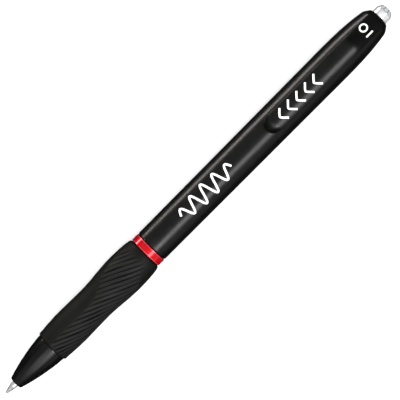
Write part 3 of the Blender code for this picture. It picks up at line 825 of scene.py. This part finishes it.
def groove_cut(phase, radius, station):
    """How deep the grooves are here, uneven along their length as in soft rubber."""
    cut = 0
    for offset, strength, seed in GROOVE_SETS:
        turns = phase * GROOVES / (2 * math.pi) + offset
        number = round(turns)
        across = (turns - number) * 2 * math.pi * radius / GROOVES
        wander = noise.noise(Vector((station * WANDER_PER_METRE, number % GROOVES, seed)))
        uneven = GROOVE_MEAN + GROOVE_SWING * wander
        cut += strength * uneven * math.exp(-((across / GROOVE_HALF_WIDTH) ** 2))
    return cut


def make_grip():
    rows = 88
    inner = CORE_RADIUS + RUNNING_GAP
    points = [(GRIP_START, inner)]
    for i in range(rows + 1):
        along = GRIP_LENGTH * i / rows
        points.append((GRIP_START + along, grip_radius(along)))
    points.append((GRIP_END, inner))
    shape = turned(points, rounded={1: 0.18 * MM, rows + 1: 0.12 * MM}, steps=GROOVES * STEPS_PER_GROOVE)
    groove = shape.verts.layers.float.new("groove")
    crest_highlight_and_polish = shape.verts.layers.float.new("crest_highlight_and_polish")
    outer = [vert for vert in shape.verts if math.hypot(vert.co.y, vert.co.z - AXIS) > inner + 0.2 * MM]
    for vert in outer:
        radius = math.hypot(vert.co.y, vert.co.z - AXIS)
        station = vert.co.x
        phase = math.atan2(vert.co.y, vert.co.z - AXIS)
        angle = phase - GROOVE_SLOPE * (station - GRIP_START)
        share = panel_share(station, angle)
        cut = share * groove_cut(phase, radius, station)
        radius -= GROOVE_DEPTH * cut
        vert.co.y = radius * math.sin(angle)
        vert.co.z = AXIS + radius * math.cos(angle)
        # The groove mask is the painted shade in the groove floors.
        vert[groove] = min(1, cut)
        # This mask is the painted highlight on the crests, where the rubber is also polished.
        vert[crest_highlight_and_polish] = max(0, share - RIDGE_FALL * cut)
    return shape


finished("grip_cover", make_grip(), rubber_black, "front", ["grip_sleeve"], sharp_degrees=60)

# %% [markdown]
# ## Ring
#
# A thin ring between grip and barrel carries the ink's colour. Its two edges are bevelled. A pink
# highlight is painted in a line beside each bevel, and painted shade darkens the bevel itself. Both
# are marked by vertex attributes, edge and rim, on rows of vertices that the outline puts there.

# %% Ring
RING_RADIUS = widest("accent_ring")
RING_BEVEL = 0.3 * MM
# Width of the painted highlight line beside each bevel, and of its fade.
HIGHLIGHT_LINE = 0.07 * MM
HIGHLIGHT_FADE = 0.05 * MM
RIM_START = 0.02 * MM


def make_ring():
    bore = CORE_RADIUS + RUNNING_GAP
    crest = RING_START + RING_BEVEL
    far_crest = RING_END - RING_BEVEL
    fades = [crest + HIGHLIGHT_FADE + HIGHLIGHT_LINE + HIGHLIGHT_FADE * i for i in (0, 1)]
    fades += [far_crest - HIGHLIGHT_FADE - HIGHLIGHT_LINE - HIGHLIGHT_FADE * i for i in (1, 0)]
    outline = [(RING_START, bore), (RING_START, RING_RADIUS - RING_BEVEL), (crest, RING_RADIUS)]
    outline += [(station, RING_RADIUS) for station in fades]
    outline += [(far_crest, RING_RADIUS), (RING_END, RING_RADIUS - RING_BEVEL), (RING_END, bore)]
    corners = {1: 0.07 * MM, 2: 0.05 * MM, 7: 0.05 * MM, 8: 0.07 * MM}
    shape = turned(outline, rounded=corners, steps=128)
    edge = shape.verts.layers.float.new("edge")
    rim = shape.verts.layers.float.new("rim")
    for vert in shape.verts:
        inward = min(vert.co.x - crest, far_crest - vert.co.x)
        # The edge mask is the painted highlight line beside each bevel.
        vert[edge] = 1.0 if 0 < inward < HIGHLIGHT_LINE + 1.5 * HIGHLIGHT_FADE else 0.0
        # The rim mask is the painted shade on the bevels.
        vert[rim] = 1.0 if inward < -RIM_START else 0.0
    return shape


finished("colour_ring", make_ring(), ring_red, "ring", ["accent_ring"])

# %% [markdown]
# ## Button
#
# The button is a plated cap with a crown of flat facets round its top. Turned first as a plain cap,
# it is then cut by one slanting plane for each facet, and each cut is closed with a flat face. Shade
# is painted along the facets' edges, so each facet gets a narrow inset border with its own attribute.

# %% Button
FACETS = 10
FACET_LENGTH = 1.36 * MM
BUTTON_TOP_RADIUS = 1.6 * MM
BUTTON_WALL = 0.5 * MM
CROWN_BEVEL = 0.04 * MM
EDGE_SHADE_WIDTH = 0.13 * MM


def is_facet(face):
    """A facet is a wide face that slants."""
    return 0.3 < face.normal.x < 0.8 and face.calc_area() > 0.3 * MM * MM


def is_crown(edge):
    """A sharp edge of the faceted top, outside its flat middle."""
    if edge.calc_face_angle(0.0) < 0.2:
        return False
    outermost = max(math.hypot(vert.co.y, vert.co.z - AXIS) for vert in edge.verts)
    lowest = min(vert.co.x for vert in edge.verts)
    return lowest > BUTTON_TOP - 2 * FACET_LENGTH and outermost > BUTTON_TOP_RADIUS * 0.9


def make_button():
    bore = BUTTON_RADIUS - BUTTON_WALL
    bore_end = BUTTON_TOP - FACET_LENGTH - BUTTON_WALL
    outline = [
        (BUTTON_TOP, 0),
        (BUTTON_TOP, BUTTON_RADIUS),
        (BUTTON_START, BUTTON_RADIUS),
        (BUTTON_START, bore),
        (bore_end, bore),
        (bore_end, 0),
    ]
    shape = turned(outline, closed=False, rounded={2: 0.1 * MM}, steps=80)
    lean = math.atan2(BUTTON_RADIUS - BUTTON_TOP_RADIUS, FACET_LENGTH)
    for i in range(FACETS):
        turn = Matrix.Rotation(2 * math.pi * i / FACETS, 3, "X")
        outward = turn @ Vector((math.sin(lean), 0, math.cos(lean)))
        edge = turn @ Vector((0, 0, BUTTON_TOP_RADIUS)) + Vector((BUTTON_TOP, 0, AXIS))
        cut = bmesh.ops.bisect_plane(
            shape,
            geom=shape.verts[:] + shape.edges[:] + shape.faces[:],
            dist=1e-8,
            plane_co=edge,
            plane_no=outward,
            clear_outer=True,
        )
        rim = [item for item in cut["geom_cut"] if isinstance(item, bmesh.types.BMEdge)]
        bmesh.ops.contextual_create(shape, geom=rim)
    bmesh.ops.remove_doubles(shape, verts=shape.verts, dist=1e-6)
    bmesh.ops.recalc_face_normals(shape, faces=shape.faces)
    crown = [edge for edge in shape.edges if is_crown(edge)]
    bmesh.ops.bevel(
        shape, geom=crown, offset=CROWN_BEVEL, affect="EDGES", segments=1, profile=0.5, material=-1
    )
    # The facets' borders take painted shade; the inset middles do not.
    painted_edge_shade = shape.verts.layers.float.new("edge")
    facets = [face for face in shape.faces if is_facet(face)]
    for vert in {vert for face in facets for vert in face.verts}:
        vert[painted_edge_shade] = 1.0
    before = set(shape.verts)
    bmesh.ops.inset_individual(shape, faces=facets, thickness=EDGE_SHADE_WIDTH, depth=0)
    for vert in set(shape.verts) - before:
        vert[painted_edge_shade] = 0.0
    return shape


button_cap = finished(
    "button_cap", make_button(), button_chrome, "button", ["push_button"], sharp_degrees=25
)

# %% [markdown]
# ## Writing point
#
# The point is a turned metal cone on a short shank, spun shut round a ball of 0.7 mm. The ball is a
# hard carbide, darker than the metal round it.

# %% Point and ball
BALL_RADIUS = widest("tip_ball")
POINT_START, POINT_END = ends("refill_tip")
SHANK_RADIUS = 1.0 * MM
CONE_LENGTH = 2.4 * MM
BARB_RADIUS = 0.85 * MM
CHANNEL = 0.25 * MM
BALL_GAP = 0.02 * MM
LIP_WALL = 0.065 * MM
SOCKET = BALL_RADIUS + BALL_GAP
BALL_CENTRE = Vector((ends("tip_ball")[0] + BALL_RADIUS, 0, AXIS))
lip = math.sqrt(BALL_RADIUS**2 - (BALL_CENTRE.x - POINT_START) ** 2) + BALL_GAP
shank_end = ends("tip_holder")[0] - RUNNING_GAP
point_outline = [
    (POINT_START, lip),
    (POINT_START, lip + LIP_WALL),
    (POINT_START + CONE_LENGTH * 0.9, SHANK_RADIUS * 0.9),
    (POINT_START + CONE_LENGTH, SHANK_RADIUS),
    (shank_end, SHANK_RADIUS),
    (shank_end, BARB_RADIUS),
    (POINT_END, BARB_RADIUS),
    (POINT_END, CHANNEL),
    (BALL_CENTRE.x + 1.5 * BALL_RADIUS, CHANNEL),
    (BALL_CENTRE.x + BALL_RADIUS, SOCKET),
    (BALL_CENTRE.x, SOCKET),
]
point_shape = turned(point_outline, rounded={1: 0.03 * MM, 3: 0.12 * MM, 4: 0.1 * MM}, steps=64)
finished("writing_point", point_shape, tip_steel, "refill", ["refill_tip"])
ball_shape = bmesh.new()
bmesh.ops.create_uvsphere(ball_shape, u_segments=48, v_segments=24, radius=BALL_RADIUS)
bmesh.ops.translate(ball_shape, vec=BALL_CENTRE, verts=ball_shape.verts)
finished("point_ball", ball_shape, carbide, "ball", ["tip_ball"])

# %% [markdown]
# ## Refill
#
# Inside, a clear tube holds the red gel with a plug of clear grease behind it, which keeps the ink
# from running back. The tube sits between a white holder for the point and a white plug. All of
# them are turned, so each is one outline.

# %% Holder, tube, ink, grease and plug
TUBE_RADIUS = widest("ink_tube")
TUBE_BORE = TUBE_RADIUS - 0.5 * MM
FILL_RADIUS = TUBE_BORE - RUNNING_GAP
TUBE_START, TUBE_END = ends("ink_tube")
HOLDER_START, HOLDER_END = ends("tip_holder")
PLUG_START, PLUG_END = ends("tail_plug")
HOLDER_NECK = 1.7 * MM
HOLDER_FLANGE = TUBE_START - 1.4 * MM
HOLDER_BORE = 0.7 * MM
PLUG_HEAD = PLUG_END - 3.0 * MM
PLUG_VENT = 0.5 * MM

holder_outline = [
    (HOLDER_START, BARB_RADIUS + RUNNING_GAP),
    (HOLDER_START, HOLDER_NECK),
    (HOLDER_FLANGE, HOLDER_NECK),
    (HOLDER_FLANGE, TUBE_RADIUS),
    (TUBE_START - RUNNING_GAP, TUBE_RADIUS),
    (TUBE_START - RUNNING_GAP, FILL_RADIUS),
    (HOLDER_END, FILL_RADIUS),
    (HOLDER_END, HOLDER_BORE),
    (POINT_END + 2 * RUNNING_GAP, HOLDER_BORE),
    (POINT_END + 2 * RUNNING_GAP, BARB_RADIUS + RUNNING_GAP),
]
holder_shape = turned(holder_outline, rounded={1: 0.15 * MM, 3: 0.1 * MM, 4: 0.1 * MM}, steps=64)
finished("point_holder", holder_shape, white_plastic, "refill", ["tip_holder"])
tube_outline = [
    (TUBE_START, TUBE_BORE),
    (TUBE_START, TUBE_RADIUS),
    (TUBE_END, TUBE_RADIUS),
    (TUBE_END, TUBE_BORE),
]
tube_shape = turned(tube_outline, rounded={1: 0.06 * MM, 2: 0.06 * MM}, steps=64)
finished("refill_tube", tube_shape, clear_plastic, "refill", ["ink_tube"])


def column(name, node, material, dish):
    """A plug of liquid that fills the tube, with dished ends where it wets the wall."""
    start, end = ends(node)
    outline = [(start + dish, 0), (start, FILL_RADIUS), (end, FILL_RADIUS), (end - dish, 0)]
    finished(name, turned(outline, closed=False, steps=64), material, "refill", [node])


column("ink_column", "gel_ink", red_ink, dish=0.4 * MM)
column("grease_column", "ink_follower", clear_grease, dish=0.3 * MM)
plug_outline = [
    (PLUG_START, PLUG_VENT),
    (PLUG_START, FILL_RADIUS),
    (PLUG_HEAD, FILL_RADIUS),
    (PLUG_HEAD, TUBE_RADIUS),
    (PLUG_END, TUBE_RADIUS),
    (PLUG_END, PLUG_VENT),
]
plug_shape = turned(plug_outline, rounded={1: 0.15 * MM, 3: 0.08 * MM, 4: 0.15 * MM}, steps=64)
finished("refill_plug", plug_shape, white_plastic, "refill", ["tail_plug"])

# %% [markdown]
# ## Return spring
#
# A coil spring is a spin too, if each step also moves along: the wire's round section is spun three
# times over, with closed turns at both ends and open ones between.

# %% Return spring
WIRE_RADIUS = 0.175 * MM
COIL_RADIUS = widest("return_spring") - WIRE_RADIUS
STEPS_PER_TURN = 32
WIRE_SIDES = 10
CLOSED_TURNS, OPEN_TURNS = 1, 6
CLOSED_PITCH = 2.3 * WIRE_RADIUS
spring_start, spring_end = ends("return_spring")


def make_spring():
    length = spring_end - spring_start - 2 * WIRE_RADIUS
    open_pitch = (length - 2 * CLOSED_TURNS * CLOSED_PITCH) / OPEN_TURNS
    closed = (CLOSED_TURNS, CLOSED_PITCH)
    shape = bmesh.new()
    bmesh.ops.create_circle(shape, segments=WIRE_SIDES, radius=WIRE_RADIUS)
    bmesh.ops.rotate(shape, matrix=Matrix.Rotation(math.pi / 2, 3, "X"), verts=shape.verts)
    first = (spring_start + WIRE_RADIUS, 0, AXIS + COIL_RADIUS)
    bmesh.ops.translate(shape, vec=first, verts=shape.verts)
    bmesh.ops.holes_fill(shape, edges=shape.edges)
    section = shape.verts[:] + shape.edges[:]
    for turns, pitch in (closed, (OPEN_TURNS, open_pitch), closed):
        spun = bmesh.ops.spin(
            shape,
            geom=section,
            cent=(0, 0, AXIS),
            axis=(1, 0, 0),
            dvec=(pitch / STEPS_PER_TURN, 0, 0),
            angle=2 * math.pi * turns,
            steps=STEPS_PER_TURN * turns,
        )
        section = [item for item in spun["geom_last"] if not isinstance(item, bmesh.types.BMFace)]
    last_ring = [item for item in section if isinstance(item, bmesh.types.BMEdge)]
    bmesh.ops.holes_fill(shape, edges=last_ring)
    bmesh.ops.recalc_face_normals(shape, faces=shape.faces)
    return shape


coil_spring = finished("coil_spring", make_spring(), spring_steel, None, ["return_spring"])
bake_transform(coil_spring)

# %% [markdown]
# ## Click parts
#
# The toothed sleeve, rotor and plunger are cut too finely to be worth drawing twice. A copy of each
# solid, with its loose triangles merged, is shaded smooth where it is round.


# %% Copies of the toothed solids
def from_solid(name, node, body):
    shape = bmesh.new()
    shape.from_mesh(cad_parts[node].data)
    bmesh.ops.remove_doubles(shape, verts=shape.verts, dist=1e-7)
    finished(name, shape, white_plastic, body, [node])


from_solid("click_sleeve", "cam_sleeve", "barrel")
from_solid("click_rotor", "cam_rotor", "rotor")
from_solid("click_plunger", "plunger", "button")

# %% [markdown]
# ## Printed marks
#
# Pens are pad-printed in white. These marks are plain ones: a wave on the barrel, arrows on the clip
# that point to the tip, and a ring and a bar on the clip's slope for the line's width. Ink has a
# thickness, so each stroke is a thin film: a grid that follows a path and is wrapped on the surface.

# %% Strokes wrapped on a surface
FILM = 0.03 * MM
FILM_SINK = 0.012 * MM
FILM_COLUMNS = 4


def on_barrel(station, side):
    """side is measured round the barrel."""
    radius = barrel_radius(station)
    angle = side / radius
    outward = Vector((0, math.sin(angle), math.cos(angle)))
    return Vector((station, 0, AXIS)) + outward * radius, outward


def on_clip(station, side):
    step = 0.01 * MM
    rise = (clip_height(station + step) - clip_height(station)) / step
    lean = -side / math.sqrt(CLIP_CROWN_RADIUS**2 - side**2)
    place = Vector((station, side, AXIS + clip_height(station) - crown_drop(side)))
    return place, Vector((-rise, -lean, 1)).normalized()


def stroke(shape, path, width, surface, steps):
    """Adds one stroke. path takes a share from 0 to 1 and gives (station, side)."""
    tiny = 1e-4
    made = bmesh.ops.create_grid(shape, x_segments=steps, y_segments=FILM_COLUMNS, size=0.5)
    sheet = list(dict.fromkeys(face for vert in made["verts"] for face in vert.link_faces))
    grown = bmesh.ops.extrude_face_region(shape, geom=sheet, use_keep_orig=True)
    upper = [item for item in grown["geom"] if isinstance(item, bmesh.types.BMVert)]
    for verts, height in ((made["verts"], -FILM_SINK), (upper, FILM)):
        for vert in verts:
            share, across = vert.co.x + 0.5, vert.co.y * width
            here = Vector(path(share))
            ahead = Vector(path(share + tiny)) - Vector(path(share - tiny))
            aside = Vector((-ahead.y, ahead.x)).normalized()
            place, outward = surface(*(here + aside * across))
            vert.co = place + outward * height


def printed(name, paths, width, surface, body, steps=48):
    shape = bmesh.new()
    for path in paths:
        stroke(shape, path, width, surface, steps)
    bmesh.ops.recalc_face_normals(shape, faces=shape.faces)
    finished(name, shape, print_white, body)


# %% The marks
WAVE_START, WAVE_LENGTH = -5.7 * MM, 18.7 * MM
WAVE_HEIGHT = 2.5 * MM
WAVES = 4.5
ARROWS, ARROW_START, ARROW_SPACING = 5, 30.9 * MM, 3.15 * MM
ARROW_LENGTH, ARROW_HALF_WIDTH = 1.8 * MM, 1.75 * MM
ARROW_BLUNTNESS = 0.15
LINE_MARK = 63.1 * MM


def wave(share):
    """A wave that is highest in its middle."""
    swell = 0.55 + 0.45 * math.sin(math.pi * min(1, max(0, share)))
    side = WAVE_HEIGHT * swell * math.sin(2 * math.pi * WAVES * share)
    return WAVE_START + WAVE_LENGTH * share, side


def arrow(station):
    """A chevron that points to the tip, with a rounded nose."""

    def path(share):
        side = 2 * share - 1
        back = math.hypot(side, ARROW_BLUNTNESS) - ARROW_BLUNTNESS
        return station + ARROW_LENGTH * back, ARROW_HALF_WIDTH * side

    return path


def ring_mark(station, side, along, across):
    def path(share):
        angle = 2 * math.pi * share
        return station + along * math.cos(angle), side + across * math.sin(angle)

    return path


def bar_mark(station, side, length):
    def path(share):
        return station + length * (share - 0.5), side

    return path


printed("barrel_wave", [wave], 0.55 * MM, on_barrel, "barrel", steps=240)
arrows = [arrow(ARROW_START + ARROW_SPACING * i) for i in range(ARROWS)]
printed("clip_arrows", arrows, 0.5 * MM, on_clip, "clip")
small_ring = ring_mark(LINE_MARK, side=0.95 * MM, along=1.1 * MM, across=0.95 * MM)
small_bar = bar_mark(LINE_MARK, side=-1.3 * MM, length=2.5 * MM)
printed("line_mark", [small_ring, small_bar], 0.42 * MM, on_clip, "barrel")

# %% [markdown]
# ## Floor, light and camera
#
# The pen lies on a pale floor under soft studio light. Black plastic shows only what it reflects, so
# two long strips do the drawing: one high on the pen's near side and one low on its far side. Each
# makes a streak along the barrel, and two short strips carry the near one past the ends. A dim top
# and a dim near side keep the rest from going dead black, and a panel in front lights the nose.
#
# A wide panel overhead lights the floor. It is kept out of the reflections, as is the floor itself,
# so that the black stays black. The button is the opposite case: its plating wants something white
# to mirror, so a card hangs over it, and light linking lets that card light the button alone.

# %% Floor
FLOOR_HALF_SIDE = 3.0
floor_shape = bmesh.new()
bmesh.ops.create_grid(floor_shape, x_segments=1, y_segments=1, size=FLOOR_HALF_SIDE)
floor_mesh = bpy.data.meshes.new("floor")
floor_shape.to_mesh(floor_mesh)
floor_shape.free()
floor = bpy.data.objects.new("floor", floor_mesh)
bpy.context.scene.collection.objects.link(floor)
floor_paint = bpy.data.materials.new("floor_paint")
floor_paint.use_nodes = True
floor_shader = floor_paint.node_tree.nodes["Principled BSDF"]
floor_shader.inputs["Base Color"].default_value = (0.9, 0.9, 0.9, 1)
floor_shader.inputs["Roughness"].default_value = 0.9
floor_shader.inputs["Specular IOR Level"].default_value = 0.0
floor_mesh.materials.append(floor_paint)
floor.visible_glossy = False
print(f"floor: {2 * FLOOR_HALF_SIDE:.0f} m square")


# %% Lights
def panel(name, place, target, size, radiance, colour=(1, 1, 1), in_gloss=True):
    """A rectangular soft light that faces its target. size is its length along the pen and its width."""
    data = bpy.data.lights.new(name, "AREA")
    data.shape = "RECTANGLE"
    data.size, data.size_y = size
    data.energy = radiance * math.pi * size[0] * size[1]
    data.color = colour
    light = bpy.data.objects.new(name, data)
    bpy.context.scene.collection.objects.link(light)
    away = (Vector(place) - Vector(target)).normalized()
    across = away.cross(Vector((1, 0, 0))).normalized()
    facing = Matrix((across.cross(away), across, away)).transposed().to_4x4()
    light.matrix_world = Matrix.Translation(place) @ facing
    light.visible_camera = False
    light.visible_glossy = in_gloss
    return light


def strip(name, degrees, middle, size, radiance, colour=(1, 1, 1), distance=0.5):
    """A strip at this angle from straight up, turned towards +Y. middle is its station along the pen."""
    angle = math.radians(degrees)
    place = Vector((0, math.sin(angle), math.cos(angle))) * distance + Vector((middle, 0, AXIS))
    return panel(name, place, (middle, 0, AXIS), size, radiance, colour)


strip("near_strip", -31, 0.05, (0.5, 0.18), radiance=4.2, colour=(1.0, 1.0, 1.02))
strip("far_strip", 86, 0.14, (0.52, 0.07), radiance=11.0, colour=(1.0, 0.95, 0.91))
strip("near_fill", -76, 0.03, (0.6, 0.25), radiance=0.3)
for number, station in enumerate((-0.13, 0.24)):
    strip(f"strip_end_{number}", -35, station, (0.05, 0.1), radiance=7.0, distance=0.49)
panel(
    "front_panel",
    (-0.25, -0.16, 0.4),
    (0, 0, AXIS),
    (0.16, 0.5),
    radiance=1.3,
    colour=(1.0, 0.99, 1.0),
)
panel("soft_top", (-0.5, 0, 0.6), (-0.5, 0, 0), (1.7, 2.0), radiance=0.2)
button_card = panel("button_card", (0.11, 0, 0.4), (0.066, 0, AXIS), (0.2, 1.2), radiance=0.9)
plated = bpy.data.collections.new("plated")
plated.objects.link(button_cap)
button_card.light_linking.receiver_collection = plated
panel("overhead", (0, 0, 1.0), (0, 0, 0), (1.6, 1.6), radiance=1.45, in_gloss=False)
print("lights:", len(bpy.data.lights))

# %% World
# What the world adds to soft light, to the backdrop that the camera sees, and to everything.
WORLD_FILL, BACKDROP, WORLD_BASE = 0.95, 0.85, 0.005
world = bpy.data.worlds.new("studio")
world.use_nodes = True
bpy.context.scene.world = world
world_tree = world.node_tree
background = world_tree.nodes["Background"]
rays = world_tree.nodes.new("ShaderNodeLightPath")
lit = calculate(world_tree, "MULTIPLY", rays.outputs["Is Diffuse Ray"], WORLD_FILL)
seen = calculate(world_tree, "MULTIPLY", rays.outputs["Is Camera Ray"], BACKDROP)
strength = calculate(world_tree, "ADD", calculate(world_tree, "ADD", lit, seen), WORLD_BASE)
world_tree.links.new(strength, background.inputs["Strength"])
background.inputs["Color"].default_value = (1, 1, 1, 1)

# %% Camera
CAMERA_DISTANCE = 0.4
VIEW_WIDTH = 0.1065
VIEW_TURN = math.radians(-45.186)
VIEW_CENTRE = Vector((0.83 * MM, -0.45 * MM, AXIS))
lens = bpy.data.cameras.new("camera")
lens.sensor_width = 36
lens.lens = lens.sensor_width * CAMERA_DISTANCE / VIEW_WIDTH
lens.clip_start = 0.01
camera = bpy.data.objects.new("camera", lens)
camera.location = VIEW_CENTRE + Vector((0, 0, CAMERA_DISTANCE))
camera.rotation_euler = (0, 0, VIEW_TURN)
bpy.context.scene.collection.objects.link(camera)
bpy.context.scene.camera = camera
bpy.context.scene.view_settings.view_transform = "Standard"
print(f"camera: {lens.lens:.0f} mm lens, {CAMERA_DISTANCE} m away")
